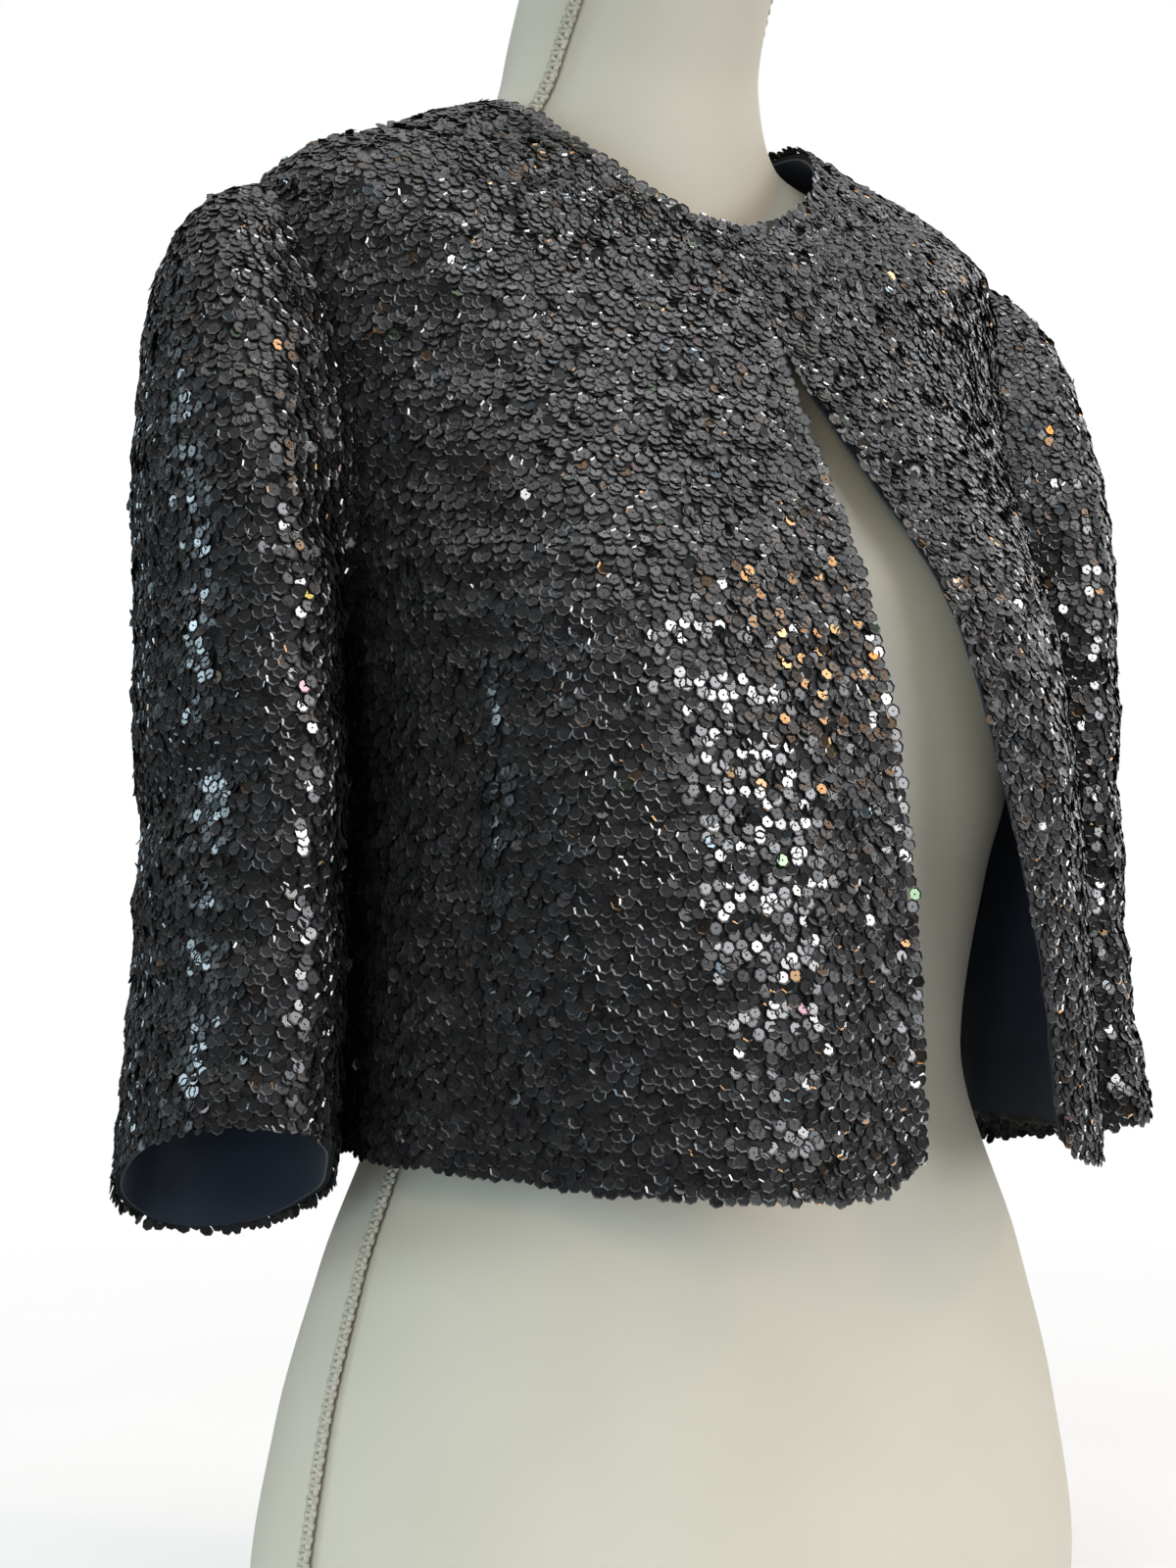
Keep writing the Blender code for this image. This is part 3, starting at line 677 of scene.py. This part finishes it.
def sequins(name, place, outward, rising, finishes, chance):
    """One joined mesh of cup sequins, each with a knot of thread in its middle."""
    count = len(place)
    outward = unit(outward)
    across = unit(np.cross(rising, outward))
    up = np.cross(outward, across)
    loose = chance.random(count) < LOOSE_SHARE
    lean = turned(SHINGLE_TILT, chance, count, LEAN_SPREAD)
    roll = turned(NEIGHBOUR_TILT, chance, count, ROLL_SPREAD)
    lean = lean + loose * np.radians(chance.normal(0, LOOSE_SPREAD, count))
    roll = roll + loose * np.radians(chance.normal(0, LOOSE_SPREAD, count))
    face = unit(outward + up * np.tan(lean)[:, None] + across * np.tan(roll)[:, None])
    u = unit(np.cross(up, face))
    v = np.cross(face, u)
    size = SEQUIN * chance.uniform(*SIZE_RANGE, count)
    cup = SEQUIN_CUP * chance.uniform(*CUP_RANGE, count)
    lift = SEQUIN_LIFT + chance.uniform(0, LIFT_SPREAD, count)
    spin = chance.uniform(0, math.tau, count)
    turns = spin[:, None] + np.arange(SEQUIN_SIDES) * math.tau / SEQUIN_SIDES

    def ring(radius, height, angle):
        flat = np.cos(angle)[..., None] * u[:, None] + np.sin(angle)[..., None] * v[:, None]
        rise = face[:, None] * np.broadcast_to(height, (count,))[:, None, None]
        return flat * np.broadcast_to(radius, (count,))[:, None, None] + rise

    middle = place + outward * lift[:, None] + up * chance.normal(0, UP_SPREAD, count)[:, None]
    middle = middle[:, None]
    knot_turns = spin[:, None] + np.arange(KNOT_SIDES) * math.tau / KNOT_SIDES
    parts = [
        ring(SEQUIN_FLAT, 0.0, turns),
        ring(size, cup, turns),
        ring(KNOT, KNOT_LIFT, knot_turns),
    ]
    points = (middle + np.concatenate(parts, axis=1)).reshape(-1, 3)

    s = np.arange(SEQUIN_SIDES)
    after = (s + 1) % SEQUIN_SIDES
    rim = np.stack([s, SEQUIN_SIDES + s, SEQUIN_SIDES + after, after], axis=-1).ravel()
    knot = 2 * SEQUIN_SIDES + np.arange(KNOT_SIDES)
    corners = np.concatenate([s, rim, knot])
    sides = np.concatenate([[SEQUIN_SIDES], np.full(SEQUIN_SIDES, 4), [KNOT_SIDES]])
    each = 2 * SEQUIN_SIDES + KNOT_SIDES
    mesh = bpy.data.meshes.new(name)
    mesh.vertices.add(count * each)
    mesh.vertices.foreach_set("co", points.ravel())
    loops = (np.arange(count)[:, None] * each + corners[None, :]).ravel()
    mesh.loops.add(len(loops))
    mesh.loops.foreach_set("vertex_index", loops)
    total = np.tile(sides, count)
    mesh.polygons.add(len(total))
    mesh.polygons.foreach_set("loop_start", np.concatenate([[0], np.cumsum(total)[:-1]]))
    mesh.polygons.foreach_set("loop_total", total)
    kind = np.searchsorted(np.cumsum(SEQUIN_SHARES)[:-1], chance.random(count), side="right")
    slots = np.repeat(kind[:, None], len(sides), axis=1)
    slots[:, -1] = len(SEQUIN_SHARES)
    mesh.polygons.foreach_set("material_index", slots.ravel())
    mesh.polygons.foreach_set("use_smooth", np.zeros(len(total), bool))
    mesh.update(calc_edges=True)
    mesh.validate()
    return new_object(name, mesh, finishes)


def dress_panel(panel, cloth_black, satin, finishes, chance):
    shares = np.linspace(0.0, 1.0, BACK_SHARES + 1 if panel == "back" else FRONT_SHARES + 1)
    levels = panel_levels(HEM_ROWS, ARMHOLE_ROWS, YOKE_ROWS)
    first, second = panel_places(panel, levels, shares)
    outer = cloth_shell(f"{panel}_cloth", jacket_point, first, second, False, False, cloth_black)
    inner = cloth_shell(f"{panel}_lining_cloth", jacket_point, first, second, True, False, satin)
    even = panel_levels(SEWN_ROWS // 3, SEWN_ROWS // 2, SEWN_ROWS // 6)
    first, second = panel_places(panel, even, np.linspace(0.0, 1.0, SEWN_SHARES + 1))
    place = jacket_point(first, second)
    outward = grid_normals(jacket_point, first, second, place, False)
    rows = sewn_rows(place, outward, chance)
    halves = [("right_half", rows[0][:, 0] < 0), ("left_half", rows[0][:, 0] >= 0)]
    if panel != "back":
        halves = [("sequins", np.ones(len(rows[0]), bool))]
    sewn = [
        sequins(f"{panel}_{half}", *(part[kept] for part in rows), finishes, chance)
        for half, kept in halves
    ]
    edges = [edge_row(place[0], outward[0], place[0] - place[2], EDGE_GAP)]
    edges.append(edge_row(place[-1], outward[-1], place[-1] - place[-3], EDGE_GAP))
    if panel != "back":
        edges.append(edge_row(place[:, 0], outward[:, 0], place[:, 0] - place[:, 2], EDGE_GAP))
    edging = [np.concatenate(parts) for parts in zip(*edges)]
    sewn.append(sequins(f"{panel}_edging", *edging, finishes, chance))
    return outer, inner, sewn


def dress_sleeve(side, cloth_black, satin, finishes, chance):
    surface = sleeve_surface(side)
    turns = np.linspace(0.0, math.tau, SLEEVE_TURNS, endpoint=False)
    first, second = sleeve_places(side, sleeve_rows(CUFF_TO_ARM_ROWS, CAP_SEAM_ROWS), turns)
    outer = cloth_shell(f"{side}_sleeve_cloth", surface, first, second, False, True, cloth_black)
    inner = cloth_shell(f"{side}_sleeve_lining_cloth", surface, first, second, True, True, satin)
    rows = sleeve_rows(SEWN_ROWS // 2, SEWN_ROWS // 2)
    first, second = sleeve_places(side, rows, np.linspace(0.0, math.tau, SEWN_SHARES + 1))
    place = surface(first, second)
    outward = grid_normals(surface, first, second, place, False)
    covering = sequins(f"{side}_sleeve_sequins", *sewn_rows(place, outward, chance), finishes, chance)
    cuff = edge_row(place[0], outward[0], place[0] - place[2], EDGE_GAP)
    edging = sequins(f"{side}_sleeve_edging", *cuff, finishes, chance)
    return outer, inner, [covering, edging]


# The floor: half its width, and how far from the object it starts to fade and is gone
FLOOR = 6.0
FLOOR_WHOLE = 0.25
FLOOR_GONE = 1.4

# Where on its noise a material's dark tone ends and its light tone starts
DARK_ENDS = 0.35
LIGHT_STARTS = 0.65


def shader_of(name):
    made = bpy.data.materials.new(name)
    made.use_nodes = True
    tree = made.node_tree
    return made, tree, tree.nodes["Principled BSDF"]


def noise(tree, scale, detail):
    place = tree.nodes.new("ShaderNodeTexCoord")
    grain = tree.nodes.new("ShaderNodeTexNoise")
    grain.inputs["Scale"].default_value = scale
    grain.inputs["Detail"].default_value = detail
    tree.links.new(place.outputs["Object"], grain.inputs["Vector"])
    return grain


def two_tone(tree, shader, scale, dark, light, detail=3.0):
    grain = noise(tree, scale, detail)
    ramp = tree.nodes.new("ShaderNodeValToRGB")
    ramp.color_ramp.elements[0].position = DARK_ENDS
    ramp.color_ramp.elements[1].position = LIGHT_STARTS
    ramp.color_ramp.elements[0].color = (*dark, 1.0)
    ramp.color_ramp.elements[1].color = (*light, 1.0)
    tree.links.new(grain.outputs["Fac"], ramp.inputs["Fac"])
    tree.links.new(ramp.outputs["Color"], shader.inputs["Base Color"])


def bumped(tree, shader, scale, strength, distance, detail=2.0):
    grain = noise(tree, scale, detail)
    bump = tree.nodes.new("ShaderNodeBump")
    bump.inputs["Strength"].default_value = strength
    bump.inputs["Distance"].default_value = distance
    tree.links.new(grain.outputs["Fac"], bump.inputs["Height"])
    tree.links.new(bump.outputs["Normal"], shader.inputs["Normal"])


# The kinds of sequin: share of all, shade, roughness, refraction and the tint of what it reflects
Kind = namedtuple("Kind", "name share shade roughness ior tint")
KINDS = (
    Kind("sequin_black", 0.60, 0.010, 0.17, 1.50, (1.0, 1.0, 1.0)),
    Kind("sequin_worn", 0.325, 0.013, 0.32, 1.47, (0.92, 0.95, 1.0)),
    Kind("sequin_bright", 0.05, 0.010, 0.12, 1.60, (1.0, 1.0, 1.0)),
    Kind("sequin_amber", 0.012, 0.010, 0.16, 1.52, (1.0, 0.62, 0.32)),
    Kind("sequin_green", 0.004, 0.010, 0.16, 1.52, (0.66, 1.0, 0.60)),
    Kind("sequin_blue", 0.006, 0.010, 0.16, 1.52, (0.62, 0.84, 1.0)),
    Kind("sequin_pink", 0.003, 0.010, 0.16, 1.52, (1.0, 0.62, 0.72)),
)
SEQUIN_SHARES = tuple(kind.share for kind in KINDS)


def sequin_material(kind):
    made, tree, shader = shader_of(kind.name)
    dark = tuple(kind.shade * part for part in (0.7, 0.72, 0.8))
    light = tuple(kind.shade * part for part in (1.5, 1.5, 1.6))
    two_tone(tree, shader, 160, dark, light)
    shader.inputs["Roughness"].default_value = kind.roughness
    shader.inputs["IOR"].default_value = kind.ior
    shader.inputs["Specular Tint"].default_value = (*kind.tint, 1.0)
    return made


def thread_material():
    made, tree, shader = shader_of("black_thread")
    two_tone(tree, shader, 900, (0.004, 0.004, 0.005), (0.012, 0.012, 0.014))
    shader.inputs["Roughness"].default_value = 0.85
    return made


def cloth_material():
    made, tree, shader = shader_of("black_net_cloth")
    two_tone(tree, shader, 400, (0.005, 0.005, 0.006), (0.013, 0.013, 0.015))
    bumped(tree, shader, 1500, 0.5, 0.0004)
    shader.inputs["Roughness"].default_value = 0.8
    return made


def satin_material():
    made, tree, shader = shader_of("navy_lining_satin")
    two_tone(tree, shader, 14, (0.014, 0.021, 0.036), (0.020, 0.030, 0.050))
    bumped(tree, shader, 1100, 0.25, 0.0002)
    shader.inputs["Roughness"].default_value = 0.48
    shader.inputs["Sheen Weight"].default_value = 0.08
    shader.inputs["Sheen Roughness"].default_value = 0.4
    return made


def shell_material():
    made, tree, shader = shader_of("ivory_form_shell")
    two_tone(tree, shader, 9, (0.500, 0.485, 0.410), (0.535, 0.520, 0.450), 2.0)
    bumped(tree, shader, 420, 0.10, 0.0003)
    shader.inputs["Roughness"].default_value = 0.68
    shader.inputs["Specular IOR Level"].default_value = 0.3
    return made


def braid_material():
    made, tree, shader = shader_of("beige_gimp")
    two_tone(tree, shader, 700, (0.37, 0.355, 0.30), (0.52, 0.50, 0.44))
    bumped(tree, shader, 2600, 0.6, 0.0003)
    shader.inputs["Roughness"].default_value = 0.85
    return made


def wire_material():
    made, tree, shader = shader_of("black_hook_wire")
    two_tone(tree, shader, 900, (0.02, 0.02, 0.022), (0.045, 0.045, 0.05))
    shader.inputs["Metallic"].default_value = 0.6
    shader.inputs["Roughness"].default_value = 0.3
    return made


def floor_material():
    """Pale, and fading into the backdrop with its distance from the object."""
    made, tree, shader = shader_of("pale_floor")
    two_tone(tree, shader, 3, (0.86, 0.86, 0.86), (0.89, 0.89, 0.89))
    shader.inputs["Roughness"].default_value = 0.7
    place = tree.nodes.new("ShaderNodeTexCoord")
    away = tree.nodes.new("ShaderNodeVectorMath")
    away.operation = "LENGTH"
    tree.links.new(place.outputs["Object"], away.inputs[0])
    fade = tree.nodes.new("ShaderNodeMapRange")
    fade.interpolation_type = "SMOOTHSTEP"
    fade.inputs["From Min"].default_value = FLOOR_WHOLE
    fade.inputs["From Max"].default_value = FLOOR_GONE
    tree.links.new(away.outputs["Value"], fade.inputs["Value"])
    clear = tree.nodes.new("ShaderNodeBsdfTransparent")
    mixed = tree.nodes.new("ShaderNodeMixShader")
    tree.links.new(fade.outputs["Result"], mixed.inputs["Fac"])
    tree.links.new(shader.outputs["BSDF"], mixed.inputs[1])
    tree.links.new(clear.outputs["BSDF"], mixed.inputs[2])
    tree.links.new(mixed.outputs["Shader"], tree.nodes["Material Output"].inputs["Surface"])
    return made


# The form, finer than its solid
FORM_ROUND = 120
FORM_ROWS_PER_RING = 10
FORM_CAP_RISE = 0.004
FORM_CAP_SHARE = 0.90
FORM_CAP_ROWS = 6


def make_form(finish):
    count = (len(FORM_RINGS) - 1) * FORM_ROWS_PER_RING + 1
    levels = np.linspace(0.0, len(FORM_RINGS) - 1, count)
    angles = np.arange(FORM_ROUND) * math.tau / FORM_ROUND
    level, angle = np.meshgrid(levels, angles, indexing="ij")
    points = form_point(angle, level)
    top = FORM_RINGS[-1]
    middle = np.array([0.0, (top.back - top.front) / 2, top.z_side])
    rounds = []
    for turn in np.linspace(0, math.pi / 2, FORM_CAP_ROWS + 1)[1:]:
        share = 1 - (1 - FORM_CAP_SHARE) * (1 - math.cos(turn))
        rise = [0.0, 0.0, FORM_CAP_RISE * math.sin(turn)]
        rounds.append(middle + (points[-1] - middle) * share + rise)
    points = np.concatenate([points, np.stack(rounds)])
    rows = len(points)
    faces = list(grid_faces(rows, FORM_ROUND, True))
    faces.append(tuple(reversed(range(FORM_ROUND))))
    faces.append(tuple(range((rows - 1) * FORM_ROUND, rows * FORM_ROUND)))
    made = solid_object("form_shell", points, faces, finish, FORM_SHARP)
    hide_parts("dress_form")


# Gimp braid: two cords that cross in scrolls, lifted a little off the form
SCROLL = 0.0046
SCROLL_REACH = 0.0021
GIMP_CORD = 0.00105
GIMP_SIDES = 6
GIMP_MIDDLE = 0.5
GIMP_CROSSING = 0.22
ROUTE_STEPS = 200
STEPS_PER_SCROLL = 10


def tube(path, normal, radius, sides):
    """Points and faces of a closed tube along a path."""
    along = unit(np.gradient(path, axis=0))
    across = unit(np.cross(normal, along))
    over = np.cross(along, across)
    turns = np.arange(sides) * math.tau / sides
    rings = across[:, None] * np.cos(turns)[None, :, None]
    rings = rings + over[:, None] * np.sin(turns)[None, :, None]
    points = path[:, None] + rings * radius
    faces = [tuple(f) for f in grid_faces(len(path), sides, True)]
    faces.append(tuple(range(sides)))
    faces.append(tuple((len(path) - 1) * sides + k for k in range(sides)))
    return points.reshape(-1, 3), faces


def joined(parts):
    points, faces, start = [], [], 0
    for part, sides in parts:
        points.append(part)
        faces.extend(tuple(k + start for k in face) for face in sides)
        start += len(part)
    return np.concatenate(points), faces


def make_braids(finish):
    for stretch in BRAID_STRETCHES:
        for side, sign in (("right", -1), ("left", 1)):
            rough = np.linspace(0.0, 1.0, ROUTE_STEPS)

            def on_form(share):
                level = stretch.low + (stretch.high - stretch.low) * share
                degrees = stretch.low_angle + (stretch.high_angle - stretch.low_angle) * share
                return np.radians(sign * degrees + stretch.turn), level

            travelled = along_line(form_point(*on_form(rough)))
            scrolls = round(travelled[-1] / SCROLL)
            steps = scrolls * STEPS_PER_SCROLL
            share = np.interp(np.linspace(0, travelled[-1], steps + 1), travelled, rough)
            angle, level = on_form(share)
            place, outward = form_point(angle, level), normal_of(form_point, angle, level)
            across = unit(np.cross(outward, unit(np.gradient(place, axis=0))))
            phase = np.linspace(0, math.tau * scrolls, steps + 1)
            parts = []
            for start in (0.0, math.pi):
                sway = across * (SCROLL_REACH * np.sin(phase + start))[:, None]
                crossing = GIMP_CROSSING * np.cos(2 * phase + start)
                lift = outward * (BRAID_CLEAR + BRAID_HEIGHT * (GIMP_MIDDLE + crossing))[:, None]
                parts.append(tube(place + sway + lift, outward, GIMP_CORD, GIMP_SIDES))
            points, faces = joined(parts)
            name = f"{stretch.name}_gimp_{side}"
            made = solid_object(name, points, faces, finish, BRAID_SHARP)
            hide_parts(f"{stretch.name}_braid_{side}")


WIRE_BENDS = 14
WIRE_SIDES = 12


def make_neck_wires(finish):
    middle = jacket_point(np.array(0.0), WIRE_LEVEL)
    outward = normal_of(jacket_point, np.array(0.0), WIRE_LEVEL)
    sideways = np.array([1.0, 0.0, 0.0])
    up = unit(np.cross(outward, sideways))
    for wire in NECK_WIRES:
        depth = CLOTH + GAP + LINING + WIRE_CLEAR + WIRE / 2 + wire.layer * (WIRE + GAP)
        turns = np.linspace(-math.pi / 2, math.pi / 2, WIRE_BENDS + 1)
        sign = math.copysign(1.0, wire.closed - wire.sewn)
        bend = wire.closed - sign * wire.half_height
        flat = [(wire.sewn, -wire.half_height)]
        for turn in turns:
            across = bend + sign * wire.half_height * math.cos(turn)
            flat.append((across, wire.half_height * math.sin(turn)))
        flat.append((wire.sewn, wire.half_height))
        path = np.stack([middle - outward * depth + sideways * a + up * b for a, b in flat])
        points, faces = tube(path, np.tile(outward, (len(path), 1)), WIRE / 2, WIRE_SIDES)
        made = solid_object(f"{wire.name}_wire", points, faces, finish, WIRE_SHARP)
        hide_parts(wire.name)


# Camera, fitted to the photograph's view of the form: its places in the picture are in pixels
PHOTO_WIDTH = 1200
PHOTO_HEIGHT = 1600
FOCAL_PIXELS = 2750
FORM_AXIS_COLUMN = 690
HORIZON_ROW = 870
CAMERA_TURN = math.radians(32)
CAMERA_AWAY = 1.05
CAMERA_HEIGHT = 0.33
FOCAL_LENGTH = FOCAL_PIXELS / PHOTO_HEIGHT
AXIS_OFF_CENTRE = (FORM_AXIS_COLUMN - PHOTO_WIDTH / 2) / PHOTO_HEIGHT
HORIZON_BELOW_CENTRE = (HORIZON_ROW - PHOTO_HEIGHT / 2) / PHOTO_HEIGHT
FILM = 36.0


def make_camera():
    made = bpy.data.cameras.new("camera")
    made.sensor_fit = "VERTICAL"
    made.sensor_height = FILM
    made.sensor_width = FILM
    made.lens = FOCAL_LENGTH * FILM
    made.shift_x = -AXIS_OFF_CENTRE
    made.shift_y = HORIZON_BELOW_CENTRE
    seen = bpy.data.objects.new("camera", made)
    seen.location = (
        -math.sin(CAMERA_TURN) * CAMERA_AWAY,
        -math.cos(CAMERA_TURN) * CAMERA_AWAY,
        CAMERA_HEIGHT,
    )
    seen.rotation_euler = (math.pi / 2, 0.0, -CAMERA_TURN)
    bpy.context.scene.collection.objects.link(seen)
    bpy.context.scene.camera = seen


# A soft light: where it stands, what it faces, its size, its brightness, its colour, and whether
# it lights what is dull (by diffuse light) and whether it shows in what is glossy
Light = namedtuple("Light", "name place target width height radiance colour dull glossy")
WHITE = (1.0, 1.0, 1.0)
COOL = (0.66, 0.87, 1.0)
WARM = (1.0, 0.52, 0.20)
CREAM = (1.0, 0.82, 0.52)
LIGHTS = (
    Light("daylight", (1.05, -1.90, 0.42), (0.0, 0.0, 0.30), 1.10, 0.80, 6.3, WHITE, True, False),
    Light("fill", (-1.80, -1.05, 0.45), (0.0, 0.0, 0.35), 1.20, 1.00, 3.9, COOL, True, False),
    Light("low_fill", (-0.60, -2.00, 0.06), (0.0, 0.0, 0.20), 1.20, 0.30, 1.5, WHITE, True, False),
    Light("window", (0.74, -1.99, 1.22), (-0.04, -0.13, 0.34), 1.25, 0.52, 30.0, WHITE, False, True),
    Light("side_window", (-1.87, 0.97, 0.92), (-0.2, 0.0, 0.4), 0.40, 0.50, 15.0, COOL, True, True),
    Light("neck_lamp", (-1.30, -1.10, 1.10), (0.0, 0.0, 0.66), 0.50, 0.50, 8.0, CREAM, True, False),
    Light("warm_lamp", (1.20, -1.13, 1.64), (0.0, 0.0, 0.40), 0.16, 0.16, 60.0, WARM, True, True),
    Light("pale_wall", (1.80, 0.30, 1.25), (0.0, 0.0, 0.42), 1.40, 1.40, 1.9, WHITE, False, True),
    Light("pale_ceiling", (0.40, -0.90, 2.20), (0.0, 0.0, 0.45), 2.00, 1.60, 2.2, WHITE, False, True),
)
# The room: its brightness near the horizon, and what it gains overhead and toward a pale wall
ROOM_LOW = 0.11
ROOM_GAIN = 1.9
ROOM_STEEP = 3.0
WALL_GAIN = 0.8
WALL_STEEP = 3.0
BACKDROP = 1.0


def math_node(tree, operation, first, second):
    made = tree.nodes.new("ShaderNodeMath")
    made.operation = operation
    for socket, value in zip(made.inputs, (first, second)):
        if isinstance(value, float):
            socket.default_value = value
        else:
            tree.links.new(value, socket)
    return made.outputs[0]


def make_room():
    """A white backdrop, and a room that lights the object more from overhead."""
    world = bpy.data.worlds.new("white_room")
    world.use_nodes = True
    tree = world.node_tree
    place = tree.nodes.new("ShaderNodeTexCoord")
    parts = tree.nodes.new("ShaderNodeSeparateXYZ")
    tree.links.new(place.outputs["Generated"], parts.inputs["Vector"])
    above = math_node(tree, "MAXIMUM", parts.outputs["Z"], 0.0)
    steep = math_node(tree, "POWER", above, ROOM_STEEP)
    gained = math_node(tree, "MULTIPLY", steep, ROOM_GAIN)
    beside = math_node(tree, "MAXIMUM", parts.outputs["X"], 0.0)
    wall = math_node(tree, "MULTIPLY", math_node(tree, "POWER", beside, WALL_STEEP), WALL_GAIN)
    room = math_node(tree, "ADD", math_node(tree, "ADD", gained, ROOM_LOW), wall)
    seen = tree.nodes.new("ShaderNodeLightPath")
    choice = tree.nodes.new("ShaderNodeMix")
    tree.links.new(seen.outputs["Is Camera Ray"], choice.inputs["Factor"])
    tree.links.new(room, choice.inputs["A"])
    choice.inputs["B"].default_value = BACKDROP
    tree.links.new(choice.outputs["Result"], tree.nodes["Background"].inputs["Strength"])
    tree.nodes["Background"].inputs["Color"].default_value = (1.0, 1.0, 1.0, 1.0)
    bpy.context.scene.world = world


def make_lights():
    for light in LIGHTS:
        made = bpy.data.lights.new(light.name, "AREA")
        made.shape = "RECTANGLE"
        made.size = light.width
        made.size_y = light.height
        made.energy = light.radiance * math.pi * light.width * light.height
        made.color = light.colour
        placed = bpy.data.objects.new(light.name, made)
        placed.location = light.place
        facing = Vector(light.target) - Vector(light.place)
        placed.rotation_euler = facing.to_track_quat("-Z", "Y").to_euler()
        placed.visible_diffuse = light.dull
        placed.visible_glossy = light.glossy
        bpy.context.scene.collection.objects.link(placed)
    make_room()
    bpy.context.scene.view_settings.view_transform = "Standard"


def make_floor(finish):
    """The floor catches shadows and lights what is dull, but doesn't show in what is glossy."""
    mesh = bpy.data.meshes.new("floor")
    signs = ((-1, -1), (1, -1), (1, 1), (-1, 1))
    corners = [(FLOOR * x, FLOOR * y, 0.0) for x, y in signs]
    mesh.from_pydata(corners, [], [(0, 1, 2, 3)])
    mesh.materials.append(finish)
    floor = bpy.data.objects.new("floor", mesh)
    floor.visible_glossy = False
    bpy.context.scene.collection.objects.link(floor)


# The flat cut of each piece: width, length, and area in square metres
Cut = namedtuple("Cut", "width length area")
CUTS = {
    "right_front": Cut(0.256, 0.481, 0.0855),
    "left_front": Cut(0.198, 0.480, 0.0684),
    "back": Cut(0.411, 0.492, 0.1473),
    "right_sleeve": Cut(0.423, 0.374, 0.0890),
    "left_sleeve": Cut(0.423, 0.379, 0.0886),
}

make_camera()
black_cloth, satin = cloth_material(), satin_material()
finishes = [sequin_material(kind) for kind in KINDS] + [thread_material()]
make_form(shell_material())
make_braids(braid_material())
make_neck_wires(wire_material())
for seed, name in enumerate(CUTS):
    chance = np.random.default_rng(seed)
    if "sleeve" in name:
        outer, inner, sewn = dress_sleeve(name.split("_")[0], black_cloth, satin, finishes, chance)
    else:
        outer, inner, sewn = dress_panel(name, black_cloth, satin, finishes, chance)
    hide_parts(name)
    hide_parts(f"{name}_lining")
make_lights()
make_floor(floor_material())
